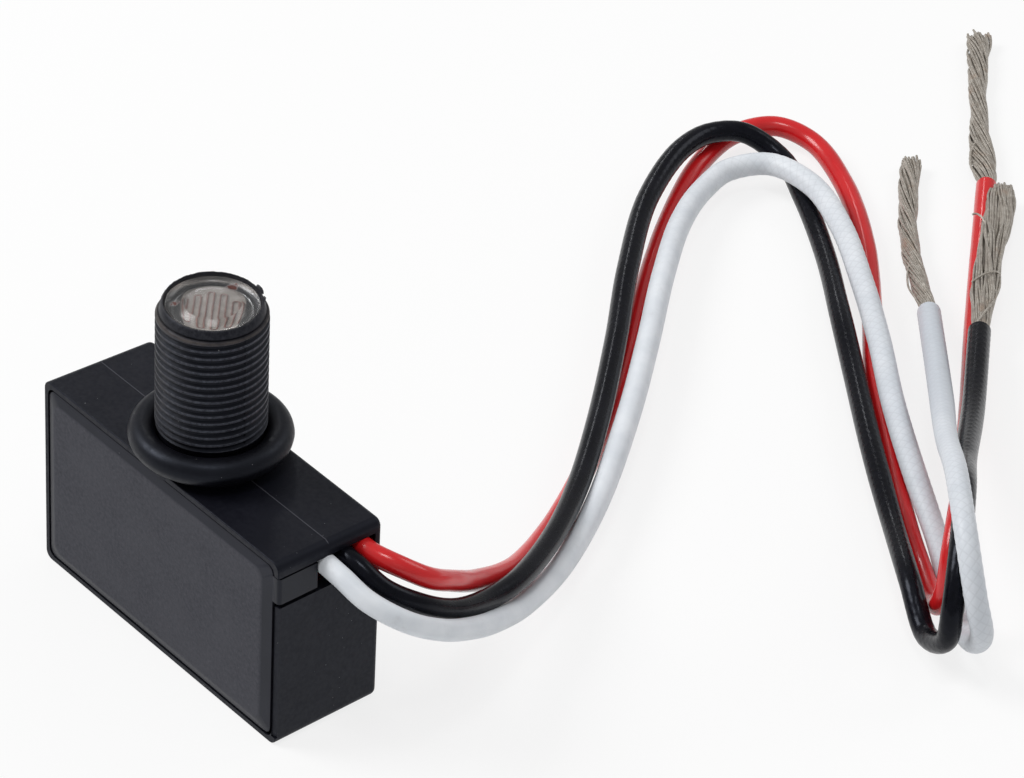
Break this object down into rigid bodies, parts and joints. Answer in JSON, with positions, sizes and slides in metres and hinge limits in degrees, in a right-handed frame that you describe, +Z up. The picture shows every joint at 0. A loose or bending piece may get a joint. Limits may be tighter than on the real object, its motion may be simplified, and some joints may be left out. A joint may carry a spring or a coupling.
{
  "type": "photocell switch",
  "caption": "Small dusk-to-dawn light switch: a flat moulded case with a threaded stem, a lens over a light-sensitive cell, a sealing ring and free leads with bare ends.",
  "frame": {"origin": "centre of the case's flat base, under the stem's axis", "axes": "+Z up the stem, +X towards the end that the leads leave, -Y towards the covered side"},
  "size_m": [0.103, 0.171, 0.0455],
  "materials": {
    "moulding": "fine satin moulded plastic",
    "panel": "dull, slightly dusty field",
    "seal": "satin rubber",
    "clear": "clear moulded plastic",
    "ceramic": "grey-beige ceramic",
    "track": "brown sensitive film",
    "tinned_wire": "tinned wire",
    "board": "bare laminate",
    "relay_case": "moulded, gloss",
    "black_resin": "moulded resin",
    "red_resin": "dipped resin",
    "can_sleeve": "shrunk sleeve",
    "blue_resin": "dipped resin",
    "tan_lacquer": "lacquer",
    "amber_glass": "amber glass",
    "solder": "dull solder",
    "white_sleeve": "soft satin insulation over a braid that shows through",
    "black_sleeve": "soft glossy insulation over a braid that shows through",
    "red_sleeve": "soft glossy insulation",
    "tinned_strands": "twisted tinned copper strands"
  },
  "bodies": {
    "root": {"case": "moulding", "cover": "panel", "sealing_ring": "seal", "lens": "clear", "photocell": "ceramic", "photocell_track": "track", "photocell_wires": "tinned_wire", "circuit_board": "board", "relay": "relay_case", "relay_pins": "tinned_wire", "bridge_rectifier": "black_resin", "film_capacitor": "red_resin", "electrolytic_capacitor": "can_sleeve", "varistor": "blue_resin", "transistor": "black_resin", "resistors": "tan_lacquer", "zener_diode": "amber_glass", "part_wires": "tinned_wire", "solder_joints": "solder", "white_lead": "white_sleeve", "black_lead": "black_sleeve", "red_lead": "red_sleeve", "white_strands": "tinned_strands", "black_strands": "tinned_strands", "red_strands": "tinned_strands"}
  },
  "joints": []
}
